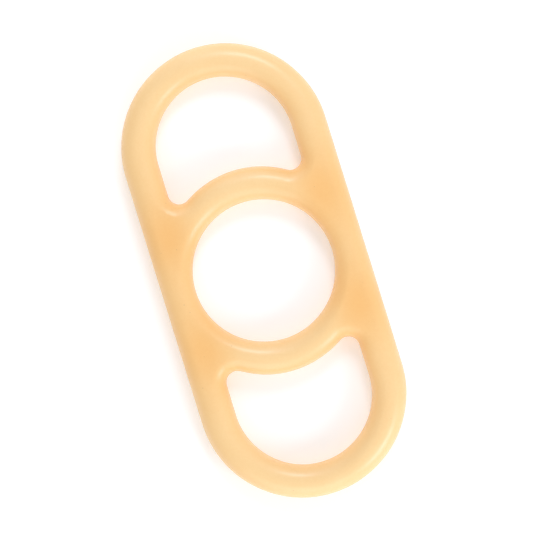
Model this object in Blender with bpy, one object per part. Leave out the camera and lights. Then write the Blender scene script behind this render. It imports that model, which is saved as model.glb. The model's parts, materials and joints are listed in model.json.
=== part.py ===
"""Elastic ring with a finger loop at each end.

The real object is one soft moulding that lies flat. Its frame has the origin
at the centre of the round opening at mid thickness, +Y along the length
towards loop A, +X across, and +Z through the thickness. Sizes are in metres.

The moulding is divided here into four rigid segments, so that joints can show
how it moves: the ring in two halves, which slide apart as the ring stretches,
and the two finger loops, which bend at their roots.
"""

import math

import bmesh
import bpy
from mathutils import Matrix

MM = 0.001

# Driving dimensions
BORE_RADIUS = 16.1 * MM          # round opening in the middle
STRAP = 7.4 * MM                 # width and thickness of a strap
LENGTH = 105.0 * MM              # overall, along Y
FINGER_HALF_WIDTH = 15.7 * MM    # D-shaped opening, half its size across
RING_ARC_CENTRE = 1.5 * MM       # the D's side next to the ring is an arc round this point on Y
CORNER_RADIUS = 2.6 * MM         # fillets where the D's two sides meet
HINGE_Y = 27.0 * MM              # where a finger loop bends
STUB_END = 24.0 * MM             # where the ring half's strap stops short of it
GAP = 0.3 * MM                   # clearance between two segments

# Worked out from them
TUBE_RADIUS = STRAP / 2
OUTER_RADIUS = BORE_RADIUS + STRAP
LOOP_RADIUS = OUTER_RADIUS - TUBE_RADIUS
END_CENTRE = LENGTH / 2 - OUTER_RADIUS
FINGER_END_CENTRE = LENGTH / 2 - STRAP - FINGER_HALF_WIDTH
RING_ARC_RADIUS = OUTER_RADIUS - RING_ARC_CENTRE
CORNER_X = FINGER_HALF_WIDTH - CORNER_RADIUS
CORNER_RISE = math.sqrt((RING_ARC_RADIUS + CORNER_RADIUS)**2 - CORNER_X**2)
CORNER_Y = RING_ARC_CENTRE + CORNER_RISE

# The edges are rounded almost to the middle of a strap, which leaves a narrow flat
EDGE_ROUND = TUBE_RADIUS - GAP
EDGE_RESOLUTION = 3

# Points on the outlines and sides on the tubes
HALF_ROUND_POINTS = 24
CORNER_POINTS = 5
ROUND_END_POINTS = 4
ROUND_END_TIP = 0.1              # radians from a ball-shaped end's tip, where it closes flat
TUBE_RESOLUTION = 4
CUP_SEGMENTS = 20
SMOOTH_ANGLE = math.radians(40)

PEACH = (0.95, 0.62, 0.30, 1.0)
ROUGHNESS = 0.42


def clear_scene():
    for obj in list(bpy.data.objects):
        bpy.data.objects.remove(obj)


def make_collection(name):
    collection = bpy.data.collections.new(name)
    bpy.context.scene.collection.children.link(collection)
    return collection


def soft_rubber(name):
    material = bpy.data.materials.new(name)
    material.use_nodes = True
    shader = material.node_tree.nodes["Principled BSDF"]
    shader.inputs["Base Color"].default_value = PEACH
    shader.inputs["Roughness"].default_value = ROUGHNESS
    shader.inputs["Metallic"].default_value = 0.0
    return material


def arc(centre, radius, start, end, points):
    """Points on a circle's arc from the start angle to the end angle."""
    steps = [start + (end - start) * i / points for i in range(points + 1)]
    return [(centre[0] + radius * math.cos(a), centre[1] + radius * math.sin(a)) for a in steps]


def outer_outline():
    """Long stadium: two half rounds joined by straight sides."""
    far = arc((0, END_CENTRE), OUTER_RADIUS, 0, math.pi, HALF_ROUND_POINTS)
    near = arc((0, -END_CENTRE), OUTER_RADIUS, math.pi, math.tau, HALF_ROUND_POINTS)
    return far + near


def bore_outline():
    """Full circle, run clockwise because it is a hole."""
    return arc((0, 0), BORE_RADIUS, math.tau, 0, 2 * HALF_ROUND_POINTS)[:-1]


def finger_outline(side):
    """D-shaped hole at one end: half round, two filleted corners and the arc beside the ring."""
    tilt = math.atan2(CORNER_RISE, CORNER_X)
    points = arc((0, FINGER_END_CENTRE), FINGER_HALF_WIDTH, math.pi, 0, HALF_ROUND_POINTS)
    points += arc((CORNER_X, CORNER_Y), CORNER_RADIUS, math.tau, math.pi + tilt, CORNER_POINTS)
    points += arc((0, RING_ARC_CENTRE), RING_ARC_RADIUS, tilt, math.pi - tilt, HALF_ROUND_POINTS // 2)
    points += arc((-CORNER_X, CORNER_Y), CORNER_RADIUS, math.tau - tilt, math.pi, CORNER_POINTS)
    return [(side * x, side * y) for x, y in points]


def add_spline(curve, points):
    spline = curve.splines.new("POLY")
    spline.points.add(len(points) - 1)
    for point, (x, y) in zip(spline.points, points):
        point.co = (x, y, 0, 1)
    spline.use_cyclic_u = True


def mesh_from(obj, name):
    """Evaluated mesh of an object, with its caps welded; the object is removed."""
    bpy.context.view_layer.update()
    evaluated = obj.evaluated_get(bpy.context.evaluated_depsgraph_get())
    mesh = bpy.data.meshes.new_from_object(evaluated)
    mesh.name = name
    mesh.transform(obj.matrix_world)
    welded = bmesh.new()
    welded.from_mesh(mesh)
    bmesh.ops.remove_doubles(welded, verts=welded.verts, dist=GAP / 100)
    bmesh.ops.recalc_face_normals(welded, faces=welded.faces)
    welded.to_mesh(mesh)
    welded.free()
    bpy.data.objects.remove(obj)
    return mesh


def moulding_blank(collection):
    """The whole moulding's flat shape with its rounded edges, as one mesh."""
    curve = bpy.data.curves.new("moulding_outline", "CURVE")
    curve.dimensions = "2D"
    curve.fill_mode = "BOTH"
    curve.extrude = TUBE_RADIUS - EDGE_ROUND
    curve.bevel_depth = EDGE_ROUND
    curve.bevel_resolution = EDGE_RESOLUTION
    curve.offset = -EDGE_ROUND
    curve.render_resolution_u = 0
    for points in (outer_outline(), bore_outline(), finger_outline(1), finger_outline(-1)):
        add_spline(curve, points)
    outline = bpy.data.objects.new("moulding_outline", curve)
    collection.objects.link(outline)
    return mesh_from(outline, "moulding_blank")


def add_cutter(name, mesh, collection):
    cutter = bpy.data.objects.new(name, mesh)
    cutter.hide_render = True
    cutter.display_type = "WIRE"
    collection.objects.link(cutter)
    return cutter


def half_box(collection):
    """Box over the stretch that one ring half takes up, from the split to its strap ends."""
    size = (4 * OUTER_RADIUS, STUB_END - GAP / 2, 4 * STRAP)
    shape = bmesh.new()
    bmesh.ops.create_cube(shape, size=1, matrix=Matrix.Diagonal((*size, 1)))
    mesh = bpy.data.meshes.new("half_box")
    shape.to_mesh(mesh)
    shape.free()
    box = add_cutter("half_box", mesh, collection)
    box.location.y = (STUB_END + GAP / 2) / 2
    return box


def hinge_cup(name, x, collection):
    """Ball that hollows the strap's end, so that the loop's round end turns in it."""
    shape = bmesh.new()
    bmesh.ops.create_uvsphere(
        shape, u_segments=CUP_SEGMENTS, v_segments=CUP_SEGMENTS // 2, radius=TUBE_RADIUS + GAP
    )
    mesh = bpy.data.meshes.new(name)
    shape.to_mesh(mesh)
    shape.free()
    ball = add_cutter(name, mesh, collection)
    ball.location = (x, HINGE_Y, 0)
    return ball


def add_boolean(obj, operation, other):
    boolean = obj.modifiers.new(other.name, "BOOLEAN")
    boolean.operation = operation
    boolean.solver = "EXACT"
    boolean.object = other


def ring_half_mesh(parts, cutters):
    """Half of the ring with its webs and the roots of one finger loop."""
    half = bpy.data.objects.new("ring_half", moulding_blank(parts))
    parts.objects.link(half)
    add_boolean(half, "INTERSECT", half_box(cutters))
    add_boolean(half, "DIFFERENCE", hinge_cup("right_cup", LOOP_RADIUS, cutters))
    add_boolean(half, "DIFFERENCE", hinge_cup("left_cup", -LOOP_RADIUS, cutters))
    mesh = mesh_from(half, "ring_half")
    finish(mesh)
    return mesh


def finger_loop_mesh(parts):
    """Round strap bent into a U, measured from its bend line, with ball-shaped ends."""
    turn = [math.pi / 2 * i / ROUND_END_POINTS for i in range(1, ROUND_END_POINTS)]
    turn.insert(0, ROUND_END_TIP)
    first_end = [(LOOP_RADIUS, -TUBE_RADIUS * math.cos(a), math.sin(a)) for a in turn]
    bend = arc((0, END_CENTRE - HINGE_Y), LOOP_RADIUS, 0, math.pi, HALF_ROUND_POINTS)
    middle = [(LOOP_RADIUS, 0)] + bend + [(-LOOP_RADIUS, 0)]
    last_end = [(-x, y, size) for x, y, size in reversed(first_end)]
    path = first_end + [(x, y, 1) for x, y in middle] + last_end

    curve = bpy.data.curves.new("finger_loop", "CURVE")
    curve.dimensions = "3D"
    curve.bevel_depth = TUBE_RADIUS
    curve.bevel_resolution = TUBE_RESOLUTION
    curve.use_fill_caps = True
    curve.render_resolution_u = 0
    spline = curve.splines.new("POLY")
    spline.points.add(len(path) - 1)
    for point, (x, y, size) in zip(spline.points, path):
        point.co = (x, y, 0, 1)
        point.radius = size
    tube = bpy.data.objects.new("finger_loop", curve)
    parts.objects.link(tube)
    mesh = mesh_from(tube, "finger_loop")
    finish(mesh)
    return mesh


def finish(mesh):
    mesh.shade_smooth()
    mesh.set_sharp_from_angle(angle=SMOOTH_ANGLE)


def add_part(name, mesh, collection, parent=None, location=(0, 0, 0), turned=False):
    part = bpy.data.objects.new(name, mesh.copy())
    part.data.name = name
    part.data.materials.append(soft_rubber(name + "_rubber"))
    part.parent = parent
    part.location = location
    part.rotation_euler.z = math.pi if turned else 0
    collection.objects.link(part)
    return part


def main():
    clear_scene()
    parts = make_collection("elastic_ring_with_finger_loops")
    cutters = make_collection("cutters")
    ring_half = ring_half_mesh(parts, cutters)
    finger_loop = finger_loop_mesh(parts)
    for end, turned in (("a", False), ("b", True)):
        half = add_part("ring_half_" + end, ring_half, parts, turned=turned)
        add_part("finger_loop_" + end, finger_loop, parts, parent=half, location=(0, HINGE_Y, 0))


main()
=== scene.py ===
"""Elastic ring with a finger loop at each end: the visual model and its studio.

One soft moulding lies on a pale floor. Its surface is worked out from its plan:
four outlines, a rounded wall along each of them and a crown that fills the rest.
The surface is then cut into three pieces at two lines that no joint deforms.
"""

import json
import math

import bmesh
import bpy
import numpy as np
from mathutils import Euler, Matrix, Vector, geometry, noise


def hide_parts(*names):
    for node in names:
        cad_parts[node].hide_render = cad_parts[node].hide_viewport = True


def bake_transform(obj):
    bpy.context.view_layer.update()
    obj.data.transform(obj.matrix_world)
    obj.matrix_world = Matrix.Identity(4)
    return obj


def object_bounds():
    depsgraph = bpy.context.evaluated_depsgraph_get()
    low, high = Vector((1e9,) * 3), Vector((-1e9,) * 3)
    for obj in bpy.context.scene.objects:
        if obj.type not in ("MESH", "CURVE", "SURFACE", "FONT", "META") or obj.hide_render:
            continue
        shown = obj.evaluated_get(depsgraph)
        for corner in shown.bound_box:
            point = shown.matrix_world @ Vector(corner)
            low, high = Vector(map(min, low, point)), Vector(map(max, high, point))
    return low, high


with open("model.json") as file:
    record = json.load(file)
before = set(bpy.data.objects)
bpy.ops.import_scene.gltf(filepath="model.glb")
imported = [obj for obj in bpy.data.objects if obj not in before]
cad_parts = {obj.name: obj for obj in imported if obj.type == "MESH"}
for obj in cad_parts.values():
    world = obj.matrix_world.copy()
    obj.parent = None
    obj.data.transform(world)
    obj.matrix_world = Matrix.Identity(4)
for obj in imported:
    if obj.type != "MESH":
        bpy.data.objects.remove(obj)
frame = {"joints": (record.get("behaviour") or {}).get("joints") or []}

MM = 0.001
cad_low, cad_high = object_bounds()

# Plan of the moulding, in the frame's metres
TUBE_RADIUS = cad_high.z                      # half the thickness, and of a strap's width
OUTER_RADIUS = cad_high.x
END_CENTRE = cad_high.y - OUTER_RADIUS
BORE_RADIUS = OUTER_RADIUS - 2 * TUBE_RADIUS
FINGER_HALF_WIDTH = 15.7 * MM
FINGER_END_CENTRE = cad_high.y - 2 * TUBE_RADIUS - FINGER_HALF_WIDTH
RING_ARC_CENTRE = 1.5 * MM
RING_ARC_RADIUS = OUTER_RADIUS - RING_ARC_CENTRE
CORNER_RADIUS = 2.6 * MM
CORNER_X = FINGER_HALF_WIDTH - CORNER_RADIUS
CORNER_RISE = math.sqrt((RING_ARC_RADIUS + CORNER_RADIUS)**2 - CORNER_X**2)
CORNER_Y = RING_ARC_CENTRE + CORNER_RISE
CORNER_TILT = math.atan2(CORNER_RISE, CORNER_X)

# Surface
STEP = 0.6 * MM                               # spacing of the mesh
WALL_ANGLE = math.radians(76)                 # how far up the round edge the wall's rows go
WALL_ROWS = 10
SEAM_HEIGHT = 0.05 * MM                       # mould line that stands out at mid thickness
SEAM_HALF_WIDTH = 0.16 * MM
RIDGE_BLEND = 0.5 * MM                        # softens the ridge between two edges
SINK = 0.10 * MM                              # the thick webs shrink a little as they cool
WEB_CENTRE = (17.5 * MM, 13.5 * MM)
WEB_SPREAD = (6.0 * MM, 8.0 * MM)
SIDE_SPREAD = (7.0 * MM, 34.0 * MM)           # how the painted shade on the long sides fades, across and along
WAVE_HEIGHT = 0.035 * MM                      # slight unevenness of a soft moulding
WAVE_LENGTH = 9.0 * MM
SAME_POINT = 1e-4 * MM                        # points closer than this count as one
SMOOTH_CORNERS = 4                            # faces with more, caps and small ones at a cut, are shaded flat

# Where the surface is cut
CUT_Y = 18.0 * MM

# Material: colours
PEACH = (0.98, 0.675, 0.322)
# colour of the painted shade on webs, steep edges and long sides
SHADE_PEACH = (0.965, 0.55, 0.192)
WEB_SHADE = 0.7                               # how far the painted shade takes webs, long sides and steep edges towards the deeper colour
SIDE_SHADE = 0.4
STEEP_SHADE = 0.48
CLOUD_TINT = (0.985, 0.955, 0.90)
CLOUD_STRENGTH = 0.5
CLOUD_RANGE = (0.35, 0.65)                    # narrower than the noise's own, so clouds have clear middles
GRAIN_TINT = (0.985, 0.955, 0.92)
GRAIN_STRENGTH = 0.6
DUST_BROWN = (0.42, 0.25, 0.13)
DUST_STRENGTH = 0.55
NOISE_RANGE = (0.3, 0.7)                      # where most of a noise field's values lie

# Material: sizes of its features
CLOUD_SIZE = 7.0 * MM
GRAIN_SIZE = 0.55 * MM
GRAIN_BUMP = 0.006 * MM
RIPPLE_SIZE = 2.4 * MM
RIPPLE_BUMP = 0.02 * MM
DUST_SPACING = 3.0 * MM
DUST_RADIUS = 0.13 * MM

# Material: gloss
ROUGHNESS = (0.44, 0.56)                      # least and most, as the clouds go
BODY_IOR = 1.5
COAT_WEIGHT = 0.6
COAT_ROUGHNESS = 0.26
COAT_IOR = 1.45

# Studio: camera
PICTURE_WIDTH = 120.2 * MM
LENS = 110
SENSOR = 36
CLIP_START = 0.01
LEAN = math.radians(17.26)                    # the long axis leans left of the picture's upright
AIM = (0.60 * MM, 0.88 * MM)                  # the picture's centre, right of and above the origin

# Studio: floor, surroundings and lamps
FLOOR_GAP = 0.02 * MM
FLOOR_FADE_START = 0.15
FLOOR_FADE_END = 0.40
FLOOR_SIZE = 2.5 * FLOOR_FADE_END
FLOOR_GREY = 0.85
FLOOR_ROUGHNESS = 0.8
FLOOR_GLOW = 0.26
SKY_LIGHT = 0.53
HORIZON_LIGHT = 0.95
BAND_TOP = 0.25                               # sine of the elevation where the bright band ends
LAMP_DISTANCE = 0.45
WHITE = (1, 1, 1)
COOL_WHITE = (0.82, 0.86, 1.0)


def hinge_y(name):
    """Where along Y the frame puts a joint."""
    joint = next(j for j in frame["joints"] if j["name"] == name)
    return joint["pos_m"][1]


def arc_run(centre, radius, start, end, into):
    """Points along an arc, each with its direction into the material; the last is left out."""
    count = max(3, round(abs(end - start) * radius / STEP))
    for i in range(count):
        angle = start + (end - start) * i / count
        outward = Vector((math.cos(angle), math.sin(angle)))
        yield Vector(centre) + radius * outward, into * outward


def line_run(x, start, end, into):
    """Points along a straight side at x, each with its direction into the material."""
    count = max(3, round(abs(end - start) / STEP))
    for i in range(count):
        yield Vector((x, start + (end - start) * i / count)), Vector((into, 0))


def outer_outline():
    yield from arc_run((0, END_CENTRE), OUTER_RADIUS, 0, math.pi, -1)
    yield from line_run(-OUTER_RADIUS, END_CENTRE, -END_CENTRE, 1)
    yield from arc_run((0, -END_CENTRE), OUTER_RADIUS, math.pi, math.tau, -1)
    yield from line_run(OUTER_RADIUS, -END_CENTRE, END_CENTRE, -1)


def bore_outline():
    yield from arc_run((0, 0), BORE_RADIUS, math.tau, 0, 1)


def finger_outline():
    """D-shaped opening: its half round, a side, a corner, the arc beside the ring, and back up."""
    corner_end = math.pi + CORNER_TILT
    yield from arc_run((0, FINGER_END_CENTRE), FINGER_HALF_WIDTH, math.pi, 0, 1)
    yield from line_run(FINGER_HALF_WIDTH, FINGER_END_CENTRE, CORNER_Y, 1)
    yield from arc_run((CORNER_X, CORNER_Y), CORNER_RADIUS, math.tau, corner_end, 1)
    yield from arc_run((0, RING_ARC_CENTRE), RING_ARC_RADIUS, CORNER_TILT, math.pi - CORNER_TILT, -1)
    yield from arc_run((-CORNER_X, CORNER_Y), CORNER_RADIUS, math.tau - CORNER_TILT, math.pi, 1)
    yield from line_run(-FINGER_HALF_WIDTH, CORNER_Y, FINGER_END_CENTRE, -1)


def all_outlines():
    finger = list(finger_outline())
    turned = [(-point, -into) for point, into in finger]
    return [list(outer_outline()), list(bore_outline()), finger, turned]


def soft_min(a, b):
    """The smaller of two distances, rounded off where they are nearly equal."""
    share = np.clip(0.5 + 0.5 * (b - a) / RIDGE_BLEND, 0, 1)
    return b * (1 - share) + a * share - RIDGE_BLEND * share * (1 - share)


def depth(x, y):
    """How far points of the plan lie from the nearest edge."""
    x, y = np.abs(x), np.abs(y)
    outer = OUTER_RADIUS - np.hypot(x, np.maximum(y - END_CENTRE, 0))
    bore = np.hypot(x, y) - BORE_RADIUS
    end = np.hypot(x, y - FINGER_END_CENTRE) - FINGER_HALF_WIDTH
    side = x - FINGER_HALF_WIDTH
    arc = RING_ARC_RADIUS - np.hypot(x, y - RING_ARC_CENTRE)
    corner = np.hypot(x - CORNER_X, y - CORNER_Y) - CORNER_RADIUS
    beside_arc = x * CORNER_RISE <= (y - RING_ARC_CENTRE) * CORNER_X
    finger = np.where(beside_arc, np.maximum(arc, side), np.where(y > CORNER_Y, side, corner))
    finger = np.where(y > FINGER_END_CENTRE, end, finger)
    return soft_min(soft_min(outer, bore), finger)


def web_share(x, y):
    """1 in the middle of the four thick webs between ring and straps, fading to 0 around them."""
    across = (np.abs(x) - WEB_CENTRE[0]) / WEB_SPREAD[0]
    along = (np.abs(y) - WEB_CENTRE[1]) / WEB_SPREAD[1]
    return np.exp(-(across**2) - along**2)


def painted_shade(places, normals):
    """Painted shade: how far the colour deepens, most in the thick webs, then on steep edges and along the
    long sides, where a translucent moulding looks darker.
    """
    x, y = places[:, 0], places[:, 1]
    across = (np.abs(x) - OUTER_RADIUS + TUBE_RADIUS) / SIDE_SPREAD[0]
    sides = np.exp(-(across**2) - (y / SIDE_SPREAD[1])**2)
    steep = 1 - np.abs(normals[:, 2])
    return np.clip(WEB_SHADE * web_share(x, y) + SIDE_SHADE * sides + STEEP_SHADE * steep, 0, 1)


def crown_height(x, y):
    """Half the thickness over the plan: a quarter round from each edge, then flat."""
    inset = np.clip(depth(x, y), 0, TUBE_RADIUS)
    return np.sqrt(inset * (2 * TUBE_RADIUS - inset)) - SINK * web_share(x, y) * (inset / TUBE_RADIUS)


def wall_profile():
    """Rows of the round edge from its underside up: distance in from the outline, and height."""
    first = SEAM_HALF_WIDTH / TUBE_RADIUS * 2
    angles = [first + (WALL_ANGLE - first) * i / WALL_ROWS for i in range(WALL_ROWS + 1)]
    upper = [(TUBE_RADIUS * (1 - math.cos(a)), TUBE_RADIUS * math.sin(a)) for a in angles]
    upper = [(-SEAM_HEIGHT, SEAM_HALF_WIDTH / 2), (0, SEAM_HALF_WIDTH)] + upper
    return [(inset, -z) for inset, z in reversed(upper)] + upper


def wall_grid(mesh, outline, profile):
    """Closed strip along one outline; returns its lowest and highest rows."""
    rows = []
    for inset, z in profile:
        places = [point + inset * into for point, into in outline]
        rows.append([mesh.verts.new((p.x, p.y, z)) for p in places])
    count = len(outline)
    for low, high in zip(rows, rows[1:]):
        for i in range(count):
            j = (i + 1) % count
            mesh.faces.new((low[i], low[j], high[j], high[i]))
    return rows[0], rows[-1]


def crown_points(inset):
    """Triangular grid over the plan, where it lies well inside the wall's top row."""
    rise = STEP * math.sqrt(3) / 2
    across = np.arange(-OUTER_RADIUS, OUTER_RADIUS, STEP)
    along = np.arange(-END_CENTRE - OUTER_RADIUS, END_CENTRE + OUTER_RADIUS, rise)
    x, y = np.meshgrid(across, along)
    x = x + (np.arange(len(along)) % 2)[:, None] * STEP / 2
    inside = depth(x, y) > inset + 0.5 * STEP
    return list(zip(x[inside], y[inside]))


def crown_triangles(loops, inset):
    """Triangles between the wall's top rows; their corners index the loops' points, then the grid's."""
    points = [Vector(v.co.xy) for loop in loops for v in loop]
    edges, start = [], 0
    for loop in loops:
        count = len(loop)
        edges += [(start + i, start + (i + 1) % count) for i in range(count)]
        start += count
    grid = [Vector(p) for p in crown_points(inset)]
    found = geometry.delaunay_2d_cdt(points + grid, edges, [], 0, SAME_POINT, True)
    places, faces, sources = found[0], found[2], found[3]
    middles = np.array([np.mean([places[i] for i in face], axis=0) for face in faces])
    kept = depth(middles[:, 0], middles[:, 1]) > inset
    return grid, [[sources[i][0] for i in face] for face, keep in zip(faces, kept) if keep]


def whole_surface():
    """The moulding as one closed surface."""
    mesh = bmesh.new()
    profile = wall_profile()
    rims = [wall_grid(mesh, outline, profile) for outline in all_outlines()]
    top_rims = [high for low, high in rims]
    grid, triangles = crown_triangles(top_rims, profile[-1][0])
    heights = crown_height(np.array([p.x for p in grid]), np.array([p.y for p in grid]))
    for side, loops in ((1, top_rims), (-1, [low for low, high in rims])):
        corners = [v for loop in loops for v in loop]
        corners += [mesh.verts.new((p.x, p.y, side * z)) for p, z in zip(grid, heights)]
        for triangle in triangles:
            mesh.faces.new([corners[i] for i in triangle])
    bmesh.ops.recalc_face_normals(mesh, faces=mesh.faces)
    mesh.normal_update()
    for vertex in mesh.verts:
        wave = noise.noise(vertex.co / WAVE_LENGTH) * WAVE_HEIGHT
        vertex.co += vertex.normal * wave
    return mesh


def store_vectors(mesh, name, values):
    attribute = mesh.attributes.new(name, "FLOAT_VECTOR", "POINT")
    attribute.data.foreach_set("vector", np.asarray(values, np.float32).ravel())


def read_points(mesh, name):
    values = np.empty(3 * len(mesh.vertices), np.float32)
    mesh.attributes[name].data.foreach_get("vector", values)
    return values.reshape(-1, 3)


def cut_piece(whole, name, cuts):
    """Part of the surface on one side of each cut, capped, and shaded as the whole surface was."""
    part = bmesh.new()
    part.from_mesh(whole)
    for y, direction in cuts:
        everything = part.verts[:] + part.edges[:] + part.faces[:]
        cut = bmesh.ops.bisect_plane(
            part, geom=everything, dist=SAME_POINT,
            plane_co=(0, y, 0), plane_no=(0, direction, 0), clear_inner=True,
        )
        rim = [e for e in cut["geom_cut"] if isinstance(e, bmesh.types.BMEdge)]
        bmesh.ops.contextual_create(part, geom=rim)
    mesh = bpy.data.meshes.new(name)
    part.to_mesh(mesh)
    part.free()
    mesh.shade_smooth()
    normals = read_points(mesh, "whole_normal")
    corners = np.empty((len(mesh.loops), 3))
    for face in mesh.polygons:
        flat = len(face.vertices) > SMOOTH_CORNERS
        for corner in face.loop_indices:
            corners[corner] = face.normal if flat else normals[mesh.loops[corner].vertex_index]
    mesh.normals_split_custom_set(corners)
    places = read_points(mesh, "position")
    store_vectors(mesh, "moulded_place", places)
    # painted shade: how far each point's colour deepens in the webs, on steep edges and along the long sides
    shade_share = mesh.attributes.new("painted_shade", "FLOAT", "POINT")
    shade_share.data.foreach_set("value", painted_shade(places, normals).astype(np.float32))
    mesh.attributes.remove(mesh.attributes["whole_normal"])
    piece = bpy.data.objects.new(name, mesh)
    bpy.context.scene.collection.objects.link(piece)
    return piece


def build_moulding():
    """The whole surface, cut into its three pieces."""
    surface = whole_surface()
    whole = bpy.data.meshes.new("whole_moulding")
    surface.to_mesh(whole)
    surface.free()
    whole.shade_smooth()
    store_vectors(whole, "whole_normal", [v.vector for v in whole.vertex_normals])
    loop_a = cut_piece(whole, "loop_a_moulding", [(CUT_Y, 1)])
    ring = cut_piece(whole, "ring_moulding", [(CUT_Y, -1), (-CUT_Y, 1)])
    loop_b = cut_piece(whole, "loop_b_moulding", [(-CUT_Y, -1)])
    bpy.data.meshes.remove(whole)
    return loop_a, ring, loop_b


def noise_field(nodes, links, place, size, detail):
    """Noise over the moulding's own coordinates, with features of about the given size."""
    texture = nodes.new("ShaderNodeTexNoise")
    texture.inputs["Scale"].default_value = 1 / size
    texture.inputs["Detail"].default_value = detail
    links.new(place, texture.inputs["Vector"])
    return texture.outputs["Fac"]


def scaled(nodes, links, value, low, high, to_low, to_high):
    """A value mapped from one range to another, and kept within it."""
    span = nodes.new("ShaderNodeMapRange")
    span.inputs["From Min"].default_value = low
    span.inputs["From Max"].default_value = high
    span.inputs["To Min"].default_value = to_low
    span.inputs["To Max"].default_value = to_high
    links.new(value, span.inputs["Value"])
    return span.outputs["Result"]


def mixed(nodes, links, factor, first, second, blend="MIX"):
    """Mix of two colours, each a colour or another node's output."""
    mix = nodes.new("ShaderNodeMix")
    mix.data_type = "RGBA"
    mix.blend_type = blend
    links.new(factor, mix.inputs["Factor"])
    for socket, colour in (("A", first), ("B", second)):
        if isinstance(colour, tuple):
            mix.inputs[socket].default_value = (*colour, 1)
        else:
            links.new(colour, mix.inputs[socket])
    return mix.outputs["Result"]


def stored(nodes, name):
    """Node that reads what cut_piece stored at each point."""
    attribute = nodes.new("ShaderNodeAttribute")
    attribute.attribute_name = name
    return attribute


def dust_specks(nodes, links, place):
    """One small speck in each cell, strongest in its middle."""
    dust = nodes.new("ShaderNodeTexVoronoi")
    dust.inputs["Scale"].default_value = 1 / DUST_SPACING
    links.new(place, dust.inputs["Vector"])
    in_cell = DUST_RADIUS / DUST_SPACING
    return scaled(nodes, links, dust.outputs["Distance"], in_cell, in_cell / 2, 0, DUST_STRENGTH)


def bumped(nodes, links, height, distance, beneath=None):
    """Normals for fine relief, over those of any coarser relief beneath it."""
    bump = nodes.new("ShaderNodeBump")
    bump.inputs["Distance"].default_value = distance
    links.new(height, bump.inputs["Height"])
    if beneath is not None:
        links.new(beneath, bump.inputs["Normal"])
    return bump.outputs["Normal"]


def elastomer():
    """Satin peach elastomer with painted shade in its webs, steep edges and long sides; cloudy colour, a fine
    matt grain, soft ripples and a few dust specks.
    """
    material = bpy.data.materials.new("peach_elastomer")
    material.use_nodes = True
    nodes, links = material.node_tree.nodes, material.node_tree.links
    shader = nodes["Principled BSDF"]
    shader.inputs["IOR"].default_value = BODY_IOR
    shader.inputs["Coat Weight"].default_value = COAT_WEIGHT
    shader.inputs["Coat Roughness"].default_value = COAT_ROUGHNESS
    shader.inputs["Coat IOR"].default_value = COAT_IOR

    place = stored(nodes, "moulded_place").outputs["Vector"]
    shade_share = stored(nodes, "painted_shade").outputs["Fac"]
    clouds = noise_field(nodes, links, place, CLOUD_SIZE, detail=3)
    grain = noise_field(nodes, links, place, GRAIN_SIZE, detail=2)
    ripples = noise_field(nodes, links, place, RIPPLE_SIZE, detail=1)
    specks = dust_specks(nodes, links, place)

    # painted shade: the base colour deepens towards the shade colour in webs, on steep edges and along long
    # sides
    body = mixed(nodes, links, shade_share, PEACH, SHADE_PEACH)
    cloud_share = scaled(nodes, links, clouds, *CLOUD_RANGE, 0, CLOUD_STRENGTH)
    cloudy = mixed(nodes, links, cloud_share, body, CLOUD_TINT, "MULTIPLY")
    grain_share = scaled(nodes, links, grain, *NOISE_RANGE, 0, GRAIN_STRENGTH)
    grained = mixed(nodes, links, grain_share, cloudy, GRAIN_TINT, "MULTIPLY")
    dusty = mixed(nodes, links, specks, grained, DUST_BROWN)
    links.new(dusty, shader.inputs["Base Color"])
    links.new(scaled(nodes, links, clouds, *NOISE_RANGE, *ROUGHNESS), shader.inputs["Roughness"])

    ripple = bumped(nodes, links, ripples, RIPPLE_BUMP)
    links.new(bumped(nodes, links, grain, GRAIN_BUMP, beneath=ripple), shader.inputs["Normal"])
    return material


def picture_turn():
    """Turn from the picture's right and up to the frame's X and Y."""
    return Matrix.Rotation(-LEAN, 3, "Z")


def make_camera():
    """Camera straight above, turned so that the part leans as it should."""
    camera = bpy.data.cameras.new("camera")
    camera.lens = LENS
    camera.sensor_width = SENSOR
    camera.clip_start = CLIP_START
    holder = bpy.data.objects.new("camera", camera)
    bpy.context.scene.collection.objects.link(holder)
    height = PICTURE_WIDTH * LENS / SENSOR
    holder.location = picture_turn() @ Vector((*AIM, height))
    holder.rotation_euler = Euler((0, 0, -LEAN))
    bpy.context.scene.camera = holder


def area_light(name, towards, elevation, size, power, colour):
    """Square lamp aimed at the origin; towards is its direction in the picture, anticlockwise from right."""
    lamp = bpy.data.lights.new(name, "AREA")
    lamp.size = size
    lamp.energy = power
    lamp.color = colour
    holder = bpy.data.objects.new(name, lamp)
    bpy.context.scene.collection.objects.link(holder)
    around, up = math.radians(towards), math.radians(elevation)
    flat = math.cos(up)
    place = Vector((flat * math.cos(around), flat * math.sin(around), math.sin(up)))
    holder.location = picture_turn() @ (place * LAMP_DISTANCE)
    holder.rotation_euler = holder.location.to_track_quat("Z", "Y").to_euler()


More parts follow.
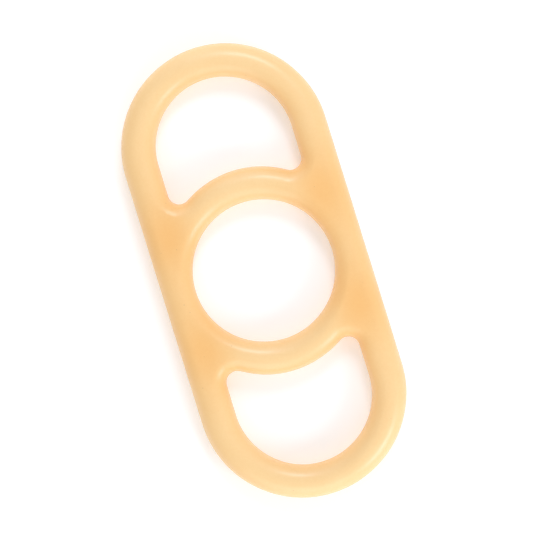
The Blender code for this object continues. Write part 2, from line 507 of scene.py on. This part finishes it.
def make_floor():
    """Pale matt floor, faintly lit from within like a light table, that fades into white far away."""
    bpy.ops.mesh.primitive_plane_add(size=FLOOR_SIZE, location=(0, 0, cad_low.z - FLOOR_GAP))
    floor = bpy.context.object
    floor.name = "floor"
    material = bpy.data.materials.new("pale_floor")
    material.use_nodes = True
    nodes, links = material.node_tree.nodes, material.node_tree.links
    shader = nodes["Principled BSDF"]
    shader.inputs["Base Color"].default_value = (FLOOR_GREY, FLOOR_GREY, FLOOR_GREY, 1)
    shader.inputs["Roughness"].default_value = FLOOR_ROUGHNESS
    shader.inputs["Emission Color"].default_value = (*WHITE, 1)
    shader.inputs["Emission Strength"].default_value = FLOOR_GLOW
    place = nodes.new("ShaderNodeNewGeometry")
    distance = nodes.new("ShaderNodeVectorMath")
    distance.operation = "LENGTH"
    links.new(place.outputs["Position"], distance.inputs[0])
    fade = scaled(nodes, links, distance.outputs["Value"], FLOOR_FADE_START, FLOOR_FADE_END, 0, 1)
    clear = nodes.new("ShaderNodeBsdfTransparent")
    mix = nodes.new("ShaderNodeMixShader")
    links.new(fade, mix.inputs["Fac"])
    links.new(shader.outputs["BSDF"], mix.inputs[1])
    links.new(clear.outputs["BSDF"], mix.inputs[2])
    links.new(mix.outputs["Shader"], nodes["Material Output"].inputs["Surface"])
    floor.data.materials.append(material)


def make_world():
    """White surroundings, brighter towards the horizon, as in a light tent."""
    world = bpy.data.worlds.new("studio")
    world.use_nodes = True
    nodes, links = world.node_tree.nodes, world.node_tree.links
    background = nodes["Background"]
    background.inputs["Color"].default_value = (*WHITE, 1)
    direction = nodes.new("ShaderNodeTexCoord")
    axes = nodes.new("ShaderNodeSeparateXYZ")
    links.new(direction.outputs["Generated"], axes.inputs["Vector"])
    strength = scaled(nodes, links, axes.outputs["Z"], 0, BAND_TOP, HORIZON_LIGHT, SKY_LIGHT)
    links.new(strength, background.inputs["Strength"])
    bpy.context.scene.world = world


make_camera()
make_floor()
make_world()
area_light("front_light", towards=-90, elevation=26, size=0.35, power=0.62, colour=WHITE)
area_light("side_light", towards=-38, elevation=30, size=0.18, power=0.71, colour=COOL_WHITE)
area_light("back_light", towards=110, elevation=24, size=0.30, power=0.32, colour=WHITE)
area_light("crisp_light", towards=82, elevation=47, size=0.14, power=0.64, colour=COOL_WHITE)
bpy.context.scene.view_settings.view_transform = "Standard"

pieces = build_moulding()
loop_a, ring, loop_b = pieces
peach = elastomer()
for piece in pieces:
    piece.data.materials.append(peach)
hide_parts("finger_loop_a")
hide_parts("ring_half_a", "ring_half_b")
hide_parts("finger_loop_b")
for piece, name, half, loop in (
    (loop_a, "loop_a_flex", "ring_half_a", "finger_loop_a"),
    (loop_b, "loop_b_flex", "ring_half_b", "finger_loop_b"),
):
    hinge = hinge_y(name)
    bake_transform(piece)
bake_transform(ring)
